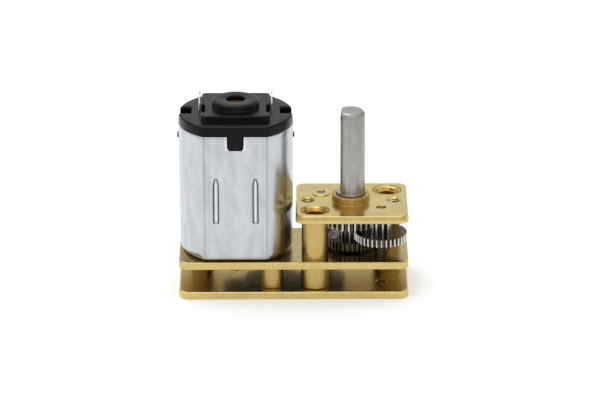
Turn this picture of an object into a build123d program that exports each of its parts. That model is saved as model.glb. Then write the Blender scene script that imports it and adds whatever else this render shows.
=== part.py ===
from build123d import *
import math
import os

# A small gearmotor: a flat-sided can motor stands beside a spur gearbox on shared brass plates,
# and the output shaft points the same way as the motor's rear end cap.
# Origin: centre of the bottom plate's underside. +X from the motor to the output shaft, +Z along the shafts.
# All sizes are in millimetres.

# ---- plates and posts ----
PLATE_LENGTH = 24.0
PLATE_WIDTH = 10.0
PLATE_T = 0.8
PLATE_CORNER = 1.0
PLATE_EDGE = 0.08
TOP_PLATE_LENGTH = 11.8
LOWER_GAP = 2.5
UPPER_GAP = 4.3
Z_MID = PLATE_T + LOWER_GAP
Z_MID_TOP = Z_MID + PLATE_T
Z_TOP = Z_MID_TOP + UPPER_GAP
Z_FACE = Z_TOP + PLATE_T

FRONT_POST_AT = (2.24, -2.99)
REAR_POST_AT = (9.86, 2.84)
SHORT_POSTS_AT = ((-2.28, -3.0), (-9.66, 2.84))
POST_LOWER_R = 1.49
POST_UPPER_R = 1.4
POST_NECK_R = 1.25
POST_BORE_R = 1.0
POST_FLARE_R = 1.48
FLARE_DEPTH = 0.24
SHORT_POST_R = 1.19
SHORT_NECK_R = 0.7

SCREW_SPACING = 9.0
SCREW_HOLE_R = 0.64
SCREW_CHAMFER = 0.12

# ---- shaft axes ----
MOTOR_AT = (-6.0, 0.0)
OUTPUT_AT = (6.0, 0.0)
FINAL_DIRECTION = -34.1
TRANSFER_DIRECTION = 147.1

# ---- gears: teeth and modules ----
PRESSURE_ANGLE = math.radians(25)
ADDENDUM = 0.8
DEDENDUM = 1.05
BACKLASH = 0.03
MODULE = 0.2
TRANSFER_MODULE = 0.15
CENTRE_MODULE = 0.152
MOTOR_TEETH = 12
IDLER_TEETH = 28
TRANSFER_WHEEL_TEETH = 24
TRANSFER_PINION_TEETH = 14
CENTRE_WHEEL_TEETH = 35
CENTRE_PINION_TEETH = 15
FINAL_WHEEL_TEETH = 35
FINAL_PINION_TEETH = 9
OUTPUT_TEETH = 29

# ---- output shaft ----
SHAFT_R = 1.5
SHAFT_TOP = Z_FACE + 10.0
SHAFT_FLAT = 1.0
SHAFT_FLAT_R = 1.495
SHAFT_FLAT_Z = 10.25
SHAFT_FLAT_TURN = 174.4
SHAFT_CHAMFER = 0.28
SPIGOT_R = 0.6
GEAR_SEAT_R = 1.2
BUSH_R = 1.96
BUSH_TOP = 10.0
BUSH_FOOT_R = 2.06
BUSH_FOOT_SUNK = 0.05
BUSH_EDGE = 0.12
RUN = 0.02
JOURNAL_R = 1.49
JOURNAL_TOP = 9.4
RELIEF_R = 1.3

# ---- small shafts and the holes they run in ----
IDLER_PIN_R = 0.5
TRANSFER_R = 0.5
TRANSFER_JOURNAL_R = 0.45
TRANSFER_CLEAR_R = 0.8
TRANSFER_BOSS_R = 1.03
TRANSFER_BOSS_TOP = Z_FACE + 0.12
FINAL_JOURNAL_R = 0.5
FINAL_SEAT_R = 0.62
FINAL_SHOULDER_R = 0.65
FINAL_END_DEPTH = 0.22
HUB_R = 1.0
CENTRE_HUB_R = 0.95

# ---- motor ----
CAN_R = 6.0
CAN_FLAT = 5.0
CAN_WALL = 0.45
CAN_CORNER = 1.2
CAN_BOTTOM_R = 0.5
CAN_TOP = 18.05
NOSE_R = 1.95
CAP_TOP = 19.15
PLATFORM_TOP = 19.75
PLATFORM_WIDTH = 7.14
PLATFORM_FRONT = -3.3
PLATFORM_REAR = 3.95
PLATFORM_CORNER = 0.45
BOSS_TOP = 20.5
BOSS_R = 2.475
BOSS_HOLE_R = 1.0
TERMINAL_TOP = 21.0
TERMINAL_EYE_DROP = 0.75
TERMINAL_X = 3.75
MOTOR_SHAFT_R = 0.5
FRONT_BEARING_R = 1.5
REAR_BEARING_R = 1.3
REAR_BEARING_Z = (18.45, 19.95)
RIB_X = 2.05
RIB_Z = (8.5, 13.4)
RIB_R = 0.36
RIB_DEPTH = 0.2


def rod(at, r, z0, z1):
    """A round bar standing on the axis at, from z0 to z1."""
    return Pos(at[0], at[1], (z0 + z1) / 2) * Cylinder(r, z1 - z0)


def cone(at, r0, r1, z0, z1):
    """A tapered bar, r0 at z0 and r1 at z1."""
    return Pos(at[0], at[1], (z0 + z1) / 2) * Cone(r0, r1, z1 - z0)


def block(x0, x1, y0, y1, z0, z1):
    """A box between two corners."""
    middle = Pos((x0 + x1) / 2, (y0 + y1) / 2, (z0 + z1) / 2)
    return middle * Box(x1 - x0, y1 - y0, z1 - z0)


def step_from(at, distance, degrees):
    """The point at a distance and direction from another."""
    turn = math.radians(degrees)
    return (at[0] + distance * math.cos(turn), at[1] + distance * math.sin(turn))


def centre_distance(teeth_a, teeth_b, module):
    return (teeth_a + teeth_b) * module / 2


def bearing(a, b):
    """Direction from a to b, in radians."""
    return math.atan2(b[1] - a[1], b[0] - a[0])


FINAL_AT = step_from(OUTPUT_AT, centre_distance(FINAL_PINION_TEETH, OUTPUT_TEETH, MODULE), FINAL_DIRECTION)
TRANSFER_AT = step_from(
    OUTPUT_AT,
    centre_distance(TRANSFER_PINION_TEETH, CENTRE_WHEEL_TEETH, TRANSFER_MODULE),
    TRANSFER_DIRECTION,
)


def idler_axis():
    """The idler meshes with both the motor pinion and the transfer wheel, on the rear side of their line."""
    near = centre_distance(MOTOR_TEETH, IDLER_TEETH, MODULE)
    far = centre_distance(IDLER_TEETH, TRANSFER_WHEEL_TEETH, MODULE)
    base = math.dist(MOTOR_AT, TRANSFER_AT)
    turn = math.acos((near**2 + base**2 - far**2) / (2 * near * base))
    return step_from(MOTOR_AT, near, math.degrees(bearing(MOTOR_AT, TRANSFER_AT) + turn))


IDLER_AT = idler_axis()


def involute(angle):
    return math.tan(angle) - angle


def tooth_outline(teeth, module):
    """Radii and half-angles of one tooth's flank, from root to tip."""
    pitch = teeth * module / 2
    base = pitch * math.cos(PRESSURE_ANGLE)
    tip = pitch + ADDENDUM * module
    root = pitch - DEDENDUM * module
    half = math.pi / (2 * teeth) - BACKLASH / (2 * pitch) + involute(PRESSURE_ANGLE)
    low = max(base, root)
    radii = [root] if root < base else []
    radii += [low + (tip - low) * k / 3 for k in range(4)]
    return [(r, half - involute(math.acos(min(1.0, base / r))) if r > base else half) for r in radii]


def gear_blank(teeth, module, phase, z0, z1, at):
    """A toothed disc with one tooth centred on the direction phase."""
    flank = tooth_outline(teeth, module)
    points = []
    for k in range(teeth):
        middle = phase + 2 * math.pi * k / teeth
        points += [(r * math.cos(middle - a), r * math.sin(middle - a)) for r, a in flank]
        points += [(r * math.cos(middle + a), r * math.sin(middle + a)) for r, a in reversed(flank)]
    face = make_face(Polyline(*points, close=True))
    return Pos(at[0], at[1], z0) * extrude(face, z1 - z0)


def meshed_phase(phase, teeth, at, other_teeth, other_at):
    """Phase that puts a gap of the other gear opposite a tooth of this one."""
    line = bearing(at, other_at)
    share = (line - phase) * teeth / (2 * math.pi)
    return line + math.pi - (0.5 - share) * 2 * math.pi / other_teeth


def export(name, shape):
    shape.label = name
    export_step(shape, f"parts/{name}.step")


# ---- frame ----
def plate(x0, x1, z0):
    blank = Pos((x0 + x1) / 2, 0, z0) * extrude(RectangleRounded(x1 - x0, PLATE_WIDTH, PLATE_CORNER), PLATE_T)
    rims = blank.edges().group_by(Axis.Z)
    return fillet(rims[0] + rims[-1], PLATE_EDGE)


def bottom_plate():
    body = plate(-PLATE_LENGTH / 2, PLATE_LENGTH / 2, 0)
    for at in (FRONT_POST_AT, REAR_POST_AT):
        body -= rod(at, POST_NECK_R, 0, PLATE_T)
        body -= cone(at, POST_FLARE_R, POST_NECK_R, 0, FLARE_DEPTH)
    for at in SHORT_POSTS_AT:
        body -= rod(at, SHORT_NECK_R, 0, PLATE_T)
    body -= rod(IDLER_AT, IDLER_PIN_R, 0, PLATE_T)
    body -= rod(TRANSFER_AT, TRANSFER_JOURNAL_R + RUN, 0, PLATE_T)
    body -= rod(FINAL_AT, FINAL_JOURNAL_R, 0, PLATE_T)
    return body


def middle_plate():
    body = plate(-PLATE_LENGTH / 2, PLATE_LENGTH / 2, Z_MID)
    for at in (FRONT_POST_AT, REAR_POST_AT):
        body -= rod(at, POST_UPPER_R, Z_MID, Z_MID_TOP)
    for at in SHORT_POSTS_AT:
        body -= rod(at, SHORT_NECK_R, Z_MID, Z_MID_TOP)
    body -= rod(IDLER_AT, IDLER_PIN_R, Z_MID, Z_MID_TOP)
    body -= rod(TRANSFER_AT, TRANSFER_CLEAR_R, Z_MID, Z_MID_TOP)
    body -= rod(FINAL_AT, FINAL_JOURNAL_R + RUN, Z_MID, Z_MID_TOP)
    body -= rod(OUTPUT_AT, SPIGOT_R + RUN, Z_MID, Z_MID_TOP)
    body -= rod(MOTOR_AT, NOSE_R, Z_MID, Z_MID_TOP)
    return body


def screw_holes():
    return [(OUTPUT_AT[0] + side * SCREW_SPACING / 2, OUTPUT_AT[1]) for side in (-1, 1)]


def top_plate():
    """Top plate: spun post ends, two tapped holes, the output bush and two journal holes."""
    rim = 0.06
    body = plate(PLATE_LENGTH / 2 - TOP_PLATE_LENGTH, PLATE_LENGTH / 2, Z_TOP)
    body += rod(TRANSFER_AT, TRANSFER_BOSS_R, Z_TOP + 0.3, TRANSFER_BOSS_TOP - rim)
    body += cone(TRANSFER_AT, TRANSFER_BOSS_R, TRANSFER_BOSS_R - rim, TRANSFER_BOSS_TOP - rim, TRANSFER_BOSS_TOP)
    for at in (FRONT_POST_AT, REAR_POST_AT):
        body -= rod(at, POST_NECK_R, Z_TOP, Z_FACE)
        body -= cone(at, POST_NECK_R, POST_FLARE_R, Z_FACE - FLARE_DEPTH, Z_FACE)
    for at in screw_holes():
        body -= rod(at, SCREW_HOLE_R, Z_TOP, Z_FACE)
        body -= cone(at, SCREW_HOLE_R, SCREW_HOLE_R + SCREW_CHAMFER, Z_FACE - SCREW_CHAMFER, Z_FACE)
    body -= rod(OUTPUT_AT, BUSH_R, Z_TOP, Z_FACE)
    body -= rod(OUTPUT_AT, BUSH_FOOT_R, Z_FACE - BUSH_FOOT_SUNK, Z_FACE)
    body -= rod(TRANSFER_AT, TRANSFER_JOURNAL_R + RUN, Z_TOP, TRANSFER_BOSS_TOP)
    body -= rod(FINAL_AT, FINAL_JOURNAL_R + RUN, Z_TOP, Z_FACE)
    return body


def long_post(at):
    """Hollow turned post: wide in the lower gap, narrower above, both ends spun over in the plates."""
    flare = POST_FLARE_R - POST_NECK_R
    body = rod(at, POST_NECK_R, 0, Z_FACE)
    body += rod(at, POST_LOWER_R, PLATE_T, Z_MID)
    body += rod(at, POST_UPPER_R, Z_MID, Z_TOP)
    body += cone(at, POST_FLARE_R, POST_NECK_R, 0, FLARE_DEPTH)
    body += cone(at, POST_NECK_R, POST_FLARE_R, Z_FACE - FLARE_DEPTH, Z_FACE)
    body -= rod(at, POST_BORE_R, 0, Z_FACE)
    depth = 0.3
    body -= cone(at, POST_BORE_R + flare + 0.1, POST_BORE_R, 0, depth)
    body -= cone(at, POST_BORE_R, POST_BORE_R + flare + 0.1, Z_FACE - depth, Z_FACE)
    return body


def short_posts():
    """Two solid posts between the lower plates, with riveted necks."""
    solids = []
    for at in SHORT_POSTS_AT:
        solids.append(rod(at, SHORT_NECK_R, 0, Z_MID_TOP) + rod(at, SHORT_POST_R, PLATE_T, Z_MID))
    return Compound(children=solids)


def output_bush():
    """Bronze sleeve pressed into the top plate, standing proud of its face on a small foot ring."""
    bore = SHAFT_R + RUN
    low = BUSH_TOP - BUSH_EDGE
    body = rod(OUTPUT_AT, BUSH_R, Z_TOP, low)
    body += cone(OUTPUT_AT, BUSH_R, BUSH_R - BUSH_EDGE, low, BUSH_TOP)
    body += rod(OUTPUT_AT, BUSH_FOOT_R, Z_FACE - BUSH_FOOT_SUNK, Z_FACE)
    body += cone(OUTPUT_AT, BUSH_FOOT_R, BUSH_R, Z_FACE, Z_FACE + BUSH_EDGE)
    body -= rod(OUTPUT_AT, bore, Z_TOP, BUSH_TOP)
    body -= cone(OUTPUT_AT, bore, bore + BUSH_EDGE, low, BUSH_TOP)
    return body


def idler_pin():
    return rod(IDLER_AT, IDLER_PIN_R, 0, Z_MID_TOP)


# ---- motor shell ----
def can_face(r, flat, corner):
    """Round outline with two flats, its four corners rounded."""
    face = Circle(r) & Rectangle(2 * r, 2 * flat)
    return fillet(face.vertices(), corner)


def can_prism(r, flat, corner, z0, z1):
    return Pos(MOTOR_AT[0], MOTOR_AT[1], z0) * extrude(can_face(r, flat, corner), z1 - z0)


def magnet_rib(side, x, outside):
    """One vertical rib pressed into a flat: outside groove, or the bulge it makes inside."""
    y = side * (CAN_FLAT if outside else CAN_FLAT - CAN_WALL)
    y += side * (RIB_R - RIB_DEPTH)
    return Pos(x, y, (RIB_Z[0] + RIB_Z[1]) / 2) * Cylinder(RIB_R, RIB_Z[1] - RIB_Z[0])


def motor_can():
    """Drawn steel can: closed foot with a nose collar, rim notches and four pressed ribs."""
    shell = can_prism(CAN_R, CAN_FLAT, CAN_CORNER, Z_MID_TOP, CAN_TOP)
    foot = shell.edges().group_by(Axis.Z)[0]
    shell = fillet(foot, CAN_BOTTOM_R)
    cavity = can_prism(
        CAN_R - CAN_WALL, CAN_FLAT - CAN_WALL, CAN_CORNER - CAN_WALL, Z_MID_TOP + CAN_WALL, CAN_TOP
    )
    shell -= cavity
    shell += rod(MOTOR_AT, NOSE_R, Z_MID, Z_MID_TOP + CAN_WALL)
    for side in (-1, 1):
        for x in (MOTOR_AT[0] - RIB_X, MOTOR_AT[0] + RIB_X):
            shell += magnet_rib(side, x, False) & cavity
            shell -= magnet_rib(side, x, True)
        notch = block(-6.83, -5.17, 4.0, 5.2, 16.6, CAN_TOP)
        shell -= notch if side > 0 else mirror(notch, Plane.XZ)
    for x0, x1 in ((-12.1, -11.3), (-0.7, 0.1)):
        shell -= block(x0, x1, -0.5, 0.5, 16.3, 16.85)
    shell -= rod(MOTOR_AT, FRONT_BEARING_R, Z_MID, Z_MID_TOP + CAN_WALL)
    return shell


def end_cap():
    """Moulded end cap: rim, inner spigot, keys in the can's notches, raised seat and bearing boss."""
    rim = can_prism(CAN_R - 0.05, CAN_FLAT - 0.05, CAN_CORNER, CAN_TOP, CAP_TOP)
    rim = fillet(rim.edges().group_by(Axis.Z)[-1], 0.25)
    outline = RectangleRounded(PLATFORM_WIDTH, PLATFORM_REAR - PLATFORM_FRONT, PLATFORM_CORNER)
    middle = (PLATFORM_REAR + PLATFORM_FRONT) / 2
    seat = Pos(MOTOR_AT[0], middle, CAP_TOP) * extrude(outline, PLATFORM_TOP - CAP_TOP)
    seat = fillet(seat.edges().group_by(Axis.Z)[-1], 0.1)
    boss = rod(MOTOR_AT, BOSS_R, CAP_TOP - 0.2, BOSS_TOP)
    boss = fillet(boss.edges().group_by(Axis.Z)[-1], 0.3)
    spigot = can_prism(CAN_R - 0.47, CAN_FLAT - 0.47, CAN_CORNER - 0.47, 17.0, CAN_TOP)
    spigot -= can_prism(CAN_R - 1.4, CAN_FLAT - 1.4, 0.3, 17.0, CAN_TOP)
    body = rim + seat + boss + spigot
    body = cap_keys(body)
    body = cap_cuts(body)
    return body


def cap_keys(body):
    """Front and rear keys that fill the can's rim notches, and two side snaps in its windows."""
    key = block(-6.8, -5.2, 4.0, CAN_FLAT - 0.03, 16.63, CAN_TOP)
    bottom = key.edges().filter_by(Axis.Y).group_by(Axis.Z)[0]
    key = fillet(bottom, 0.2)
    body += key
    body += mirror(key, Plane.XZ)
    for side in (-1, 1):
        leg = block(4.7, 5.4, -0.9, 0.9, 16.1, 17.2)
        snap = block(5.3, CAN_R + 0.04, -0.4, 0.4, 16.36, 16.8)
        arm = leg + snap
        if side < 0:
            arm = mirror(arm, Plane.YZ)
        body += Pos(MOTOR_AT[0], 0, 0) * arm
    return body


def cap_cuts(body):
    """Side notches, seat notches, terminal slots and the bearing pocket."""
    notch_y = (-0.6, 1.25)
    for x0, x1 in ((-12.2, -10.65), (-1.33, 0.2)):
        body -= block(x0, x1, notch_y[0], notch_y[1], CAP_TOP - 0.8, CAP_TOP + 0.1)
    for side in (-1, 1):
        outer = MOTOR_AT[0] + side * 3.6
        inner = MOTOR_AT[0] + side * 3.22
        body -= block(min(outer, inner), max(outer, inner), -2.0, 0.3, CAP_TOP, PLATFORM_TOP + 0.1)
        middle = MOTOR_AT[0] + side * TERMINAL_X
        body -= block(middle - 0.1, middle + 0.1, -0.45, 1.05, 16.9, PLATFORM_TOP + 0.1)
    body -= rod(MOTOR_AT, REAR_BEARING_R, 18.0, REAR_BEARING_Z[1])
    body -= rod(MOTOR_AT, BOSS_HOLE_R, 18.0, BOSS_TOP + 0.1)
    return body


def magnets():
    """Two magnets filling the can's round sides, stopped by the pressed ribs."""
    z0, z1 = 6.0, 14.6
    filler = can_prism(CAN_R - CAN_WALL, CAN_FLAT - CAN_WALL, CAN_CORNER - CAN_WALL, z0, z1)
    filler -= rod(MOTOR_AT, 4.05, z0, z1)
    gap = RIB_X + RIB_R
    filler -= block(MOTOR_AT[0] - gap, MOTOR_AT[0] + gap, -6, 6, z0, z1)
    return Compound(children=list(filler.solids()))


def sleeve(at, outer, inner, z0, z1):
    return rod(at, outer, z0, z1) - rod(at, inner, z0, z1)


def terminals():
    """Two upright contact blades through the end cap, each with a wire hole."""
    solids = []
    for side in (-1, 1):
        x = MOTOR_AT[0] + side * TERMINAL_X
        blade = block(x - 0.1, x + 0.1, -0.45, 1.05, 16.95, TERMINAL_TOP)
        shoulders = blade.edges().filter_by(Axis.X).group_by(Axis.Z)[-1]
        blade = fillet(shoulders, 0.3)
        eye = Pos(x, 0.3, TERMINAL_TOP - TERMINAL_EYE_DROP) * (Rot(0, 90, 0) * Cylinder(0.35, 1.0))
        solids.append(blade - eye)
    return Compound(children=solids)


def brushes():
    """Two leaf brushes: a foot on the terminal blade, an arm along the cap and a leaf beside the commutator."""
    leaf_x = 1.33
    solids = []
    for side in (-1, 1):
        arm = block(leaf_x + 0.15, TERMINAL_X - 0.1, 2.2, 2.35, 15.6, 16.85)
        foot = block(TERMINAL_X - 0.25, TERMINAL_X - 0.1, 0.2, 2.35, 15.6, 17.4)
        leaf = block(leaf_x, leaf_x + 0.15, -2.0, 2.35, 15.6, 16.5)
        brush = arm + foot + leaf
        if side < 0:
            brush = mirror(brush, Plane.YZ)
        solids.append(Pos(MOTOR_AT[0], 0, 0) * brush)
    return Compound(children=solids)


# ---- rotor ----
CORE_Z = (7.1, 13.5)
POLE_R = 3.75
SHOE_R = 3.0
COMMUTATOR_Z = (15.1, 17.1)


def pole(k, shape):
    """The shape turned to pole k of three and moved to the motor axis."""
    return Pos(MOTOR_AT[0], MOTOR_AT[1], 0) * (Rot(0, 0, 90 + 120 * k) * shape)


def rotor_core():
    """Three-pole laminated core."""
    z0, z1 = CORE_Z
    body = rod(MOTOR_AT, 1.35, z0, z1)
    shoe_ring = Cylinder(POLE_R, z1 - z0) - Cylinder(SHOE_R, z1 - z0)
    shoe_gap = 1.35
    keep = block(0, 5, -5, 5, -10, 10)
    keep &= Rot(0, 0, 60) * block(-5, 5, -10, -shoe_gap / 2, -10, 10)
    keep &= Rot(0, 0, -60) * block(-5, 5, shoe_gap / 2, 10, -10, 10)
    shoe = Pos(0, 0, (z0 + z1) / 2) * (shoe_ring & keep)
    neck = block(1.2, SHOE_R + 0.1, -0.7, 0.7, z0, z1)
    for k in range(3):
        body += pole(k, shoe)
        body += pole(k, neck)
    body -= rod(MOTOR_AT, MOTOR_SHAFT_R, z0, z1)
    return body


def rotor_windings(core):
    """Three coils, each wound round the neck of a pole."""
    z0, z1 = CORE_Z[0] - 0.7, CORE_Z[1] + 0.7
    solids = []
    for k in range(3):
        coil = block(1.42, 2.95, -1.4, 1.4, z0, z1)
        coil = fillet(coil.edges().filter_by(Axis.X), 0.45)
        solids.append((pole(k, coil) - core).solids().sort_by(SortBy.VOLUME)[-1])
    return Compound(children=solids)


def commutator_hub():
    z0, z1 = COMMUTATOR_Z
    body = rod(MOTOR_AT, 1.05, z0 - 0.5, z1 + 0.3) + rod(MOTOR_AT, 1.6, z0 - 0.5, z0)
    return body - rod(MOTOR_AT, MOTOR_SHAFT_R, z0 - 0.5, z1 + 0.3)


def commutator_segments():
    z0, z1 = COMMUTATOR_Z
    ring = sleeve(MOTOR_AT, 1.28, 1.05, z0, z1)
    for k in range(3):
        ring -= pole(k, block(0, 2, -0.08, 0.08, z0, z1))
    return Compound(children=list(ring.solids()))


def motor_shaft():
    return rod(MOTOR_AT, MOTOR_SHAFT_R, 1.4, 19.85)


# ---- gear train ----
IDLER_Z = (1.7, 2.95)
PINION_Z = (1.7, 3.1)
HUB_Z = (0.95, 3.15)
TRANSFER_WHEEL_Z = (1.8, 2.9)
TRANSFER_PINION_Z = (4.25, 5.35)
CENTRE_WHEEL_Z = (4.4, 5.2)
CENTRE_PINION_TOP = 6.65
FINAL_WHEEL_Z = (5.7, 6.5)
FINAL_PINION_TOP = 8.25
OUTPUT_GEAR_Z = (6.8, 8.2)


def motor_pinion():
    blank = gear_blank(MOTOR_TEETH, MODULE, 0, *PINION_Z, MOTOR_AT)
    return blank - rod(MOTOR_AT, MOTOR_SHAFT_R, *PINION_Z)


IDLER_PHASE = meshed_phase(0, MOTOR_TEETH, MOTOR_AT, IDLER_TEETH, IDLER_AT)


def idler_gear():
    blank = gear_blank(IDLER_TEETH, MODULE, IDLER_PHASE, *IDLER_Z, IDLER_AT)
    blank += rod(IDLER_AT, HUB_R, *HUB_Z)
    return blank - rod(IDLER_AT, IDLER_PIN_R + RUN, *HUB_Z)


def transfer_wheel():
    phase = meshed_phase(IDLER_PHASE, IDLER_TEETH, IDLER_AT, TRANSFER_WHEEL_TEETH, TRANSFER_AT)
    blank = gear_blank(TRANSFER_WHEEL_TEETH, MODULE, phase, *TRANSFER_WHEEL_Z, TRANSFER_AT)
    blank += rod(TRANSFER_AT, HUB_R, *HUB_Z)
    return blank - rod(TRANSFER_AT, TRANSFER_R, *HUB_Z)


def transfer_shaft():
    """Upright shaft from the bottom plate to the top plate, carrying wheel and pinion."""
    body = rod(TRANSFER_AT, TRANSFER_R, PLATE_T + 0.1, Z_TOP - 0.1)
    body += rod(TRANSFER_AT, TRANSFER_JOURNAL_R, 0.05, Z_FACE + 0.04)
    return body


def transfer_pinion():
    blank = gear_blank(TRANSFER_PINION_TEETH, TRANSFER_MODULE, 0, *TRANSFER_PINION_Z, TRANSFER_AT)
    return blank - rod(TRANSFER_AT, TRANSFER_R, *TRANSFER_PINION_Z)


def centre_wheel():
    """Large wheel of the compound gear that turns freely on the output shaft's spigot."""
    phase = meshed_phase(0, TRANSFER_PINION_TEETH, TRANSFER_AT, CENTRE_WHEEL_TEETH, OUTPUT_AT)
    blank = gear_blank(CENTRE_WHEEL_TEETH, TRANSFER_MODULE, phase, *CENTRE_WHEEL_Z, OUTPUT_AT)
    return blank - rod(OUTPUT_AT, CENTRE_HUB_R, *CENTRE_WHEEL_Z)


def centre_pinion():
    blank = gear_blank(
        CENTRE_PINION_TEETH, CENTRE_MODULE, 0, CENTRE_WHEEL_Z[1], CENTRE_PINION_TOP, OUTPUT_AT
    )
    blank += rod(OUTPUT_AT, CENTRE_HUB_R, Z_MID_TOP + 0.1, CENTRE_WHEEL_Z[1])
    return blank - rod(OUTPUT_AT, SPIGOT_R + RUN, Z_MID_TOP, CENTRE_PINION_TOP)


def final_wheel():
    phase = meshed_phase(0, CENTRE_PINION_TEETH, OUTPUT_AT, FINAL_WHEEL_TEETH, FINAL_AT)
    blank = gear_blank(FINAL_WHEEL_TEETH, CENTRE_MODULE, phase, *FINAL_WHEEL_Z, FINAL_AT)
    return blank - rod(FINAL_AT, FINAL_SEAT_R, *FINAL_WHEEL_Z)


def final_pinion_shaft():
    """Pinion cut on its own shaft, with a seat for the wheel and a journal in each plate."""
    body = gear_blank(FINAL_PINION_TEETH, MODULE, 0, FINAL_WHEEL_Z[1], FINAL_PINION_TOP, FINAL_AT)
    body += rod(FINAL_AT, FINAL_SEAT_R, FINAL_WHEEL_Z[0], FINAL_WHEEL_Z[1])
    body += rod(FINAL_AT, FINAL_SHOULDER_R, Z_MID_TOP + 0.1, FINAL_WHEEL_Z[0])
    body += rod(FINAL_AT, FINAL_JOURNAL_R, Z_MID + 0.05, Z_FACE - FINAL_END_DEPTH)
    return body


def output_gear():
    phase = meshed_phase(0, FINAL_PINION_TEETH, FINAL_AT, OUTPUT_TEETH, OUTPUT_AT)
    blank = gear_blank(OUTPUT_TEETH, MODULE, phase, *OUTPUT_GEAR_Z, OUTPUT_AT)
    return blank - rod(OUTPUT_AT, GEAR_SEAT_R, *OUTPUT_GEAR_Z)


def output_shaft():
    """Stepped steel shaft: spigot, gear seat, journal with a grease relief, collar and D-shaped free end."""
    shoulder = SHAFT_TOP - SHAFT_CHAMFER
    body = rod(OUTPUT_AT, SPIGOT_R, Z_MID + 0.05, OUTPUT_GEAR_Z[0])
    body += rod(OUTPUT_AT, GEAR_SEAT_R, CENTRE_PINION_TOP + 0.07, OUTPUT_GEAR_Z[1])
    body += rod(OUTPUT_AT, JOURNAL_R, OUTPUT_GEAR_Z[1], JOURNAL_TOP)
    body += rod(OUTPUT_AT, RELIEF_R, JOURNAL_TOP, BUSH_TOP)
    body += rod(OUTPUT_AT, SHAFT_R, BUSH_TOP, SHAFT_FLAT_Z)
    body += rod(OUTPUT_AT, SHAFT_FLAT_R, SHAFT_FLAT_Z, shoulder)
    body += cone(OUTPUT_AT, SHAFT_FLAT_R, SHAFT_FLAT_R - SHAFT_CHAMFER, shoulder, SHAFT_TOP)
    flat = block(SHAFT_FLAT, 3, -3, 3, SHAFT_FLAT_Z, SHAFT_TOP + 1)
    return body - Pos(OUTPUT_AT[0], OUTPUT_AT[1], 0) * (Rot(0, 0, SHAFT_FLAT_TURN) * flat)


def main():
    os.makedirs("parts", exist_ok=True)
    export("bottom_plate", bottom_plate())
    export("middle_plate", middle_plate())
    export("top_plate", top_plate())
    export("front_post", long_post(FRONT_POST_AT))
    export("rear_post", long_post(REAR_POST_AT))
    export("short_posts", short_posts())
    export("output_bush", output_bush())
    export("idler_pin", idler_pin())
    export("motor_can", motor_can())
    export("motor_end_cap", end_cap())
    export("magnets", magnets())
    export("front_bearing", sleeve(MOTOR_AT, FRONT_BEARING_R, MOTOR_SHAFT_R + RUN, Z_MID, Z_MID_TOP + 0.85))
    export("rear_bearing", sleeve(MOTOR_AT, REAR_BEARING_R, MOTOR_SHAFT_R + RUN, *REAR_BEARING_Z))
    export("terminals", terminals())
    export("brushes", brushes())
    core = rotor_core()
    export("rotor_core", core)
    export("rotor_windings", rotor_windings(core))
    export("commutator_hub", commutator_hub())
    export("commutator_segments", commutator_segments())
    export("motor_shaft", motor_shaft())
    export("motor_pinion", motor_pinion())
    export("idler_gear", idler_gear())
    export("transfer_wheel", transfer_wheel())
    export("transfer_shaft", transfer_shaft())
    export("transfer_pinion", transfer_pinion())
    export("centre_wheel", centre_wheel())
    export("centre_pinion", centre_pinion())
    export("final_wheel", final_wheel())
    export("final_pinion_shaft", final_pinion_shaft())
    export("output_gear", output_gear())
    export("output_shaft", output_shaft())
    for name, at in (("transfer", TRANSFER_AT), ("final", FINAL_AT), ("idler", IDLER_AT)):
        print(f"{name} axis at ({at[0]:.4f}, {at[1]:.4f})")


main()
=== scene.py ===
import math

import bmesh
import bpy
from mathutils import Matrix, Vector


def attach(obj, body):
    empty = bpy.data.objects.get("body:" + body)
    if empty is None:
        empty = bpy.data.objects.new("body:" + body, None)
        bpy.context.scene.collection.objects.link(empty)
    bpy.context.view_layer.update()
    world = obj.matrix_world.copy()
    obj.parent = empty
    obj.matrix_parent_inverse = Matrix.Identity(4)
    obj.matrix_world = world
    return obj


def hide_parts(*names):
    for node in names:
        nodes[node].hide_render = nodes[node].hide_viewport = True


# The looks of a small gearmotor: a flat-sided can motor beside an open spur gearbox on brass plates.
# Sizes below are in millimetres and become metres when a mesh is made.

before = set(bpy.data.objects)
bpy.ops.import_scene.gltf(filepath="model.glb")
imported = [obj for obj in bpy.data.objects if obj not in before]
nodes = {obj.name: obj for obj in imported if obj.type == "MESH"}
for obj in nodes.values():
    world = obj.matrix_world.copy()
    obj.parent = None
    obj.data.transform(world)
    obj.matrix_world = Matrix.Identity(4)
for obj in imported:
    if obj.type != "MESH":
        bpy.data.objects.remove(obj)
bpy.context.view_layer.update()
MM = 0.001

# ---------------------------------------------------------------- places and sizes
PLATE_T = 0.8
Z_MID = 3.3
Z_MID_TOP = 4.1
Z_TOP = 8.4
Z_FACE = 9.2
MOTOR = (-6.0, 0.0)
OUTPUT = (6.0, 0.0)
TRANSFER = (2.9144, 1.9962)
FINAL = (9.1466, -2.1304)
IDLER = (-2.2506, 1.3934)
FRONT_POST = (2.24, -2.99)
REAR_POST = (9.86, 2.84)
SHORT_POSTS = ((-2.28, -3.0), (-9.66, 2.84))
CAN_TOP = 18.05

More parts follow.
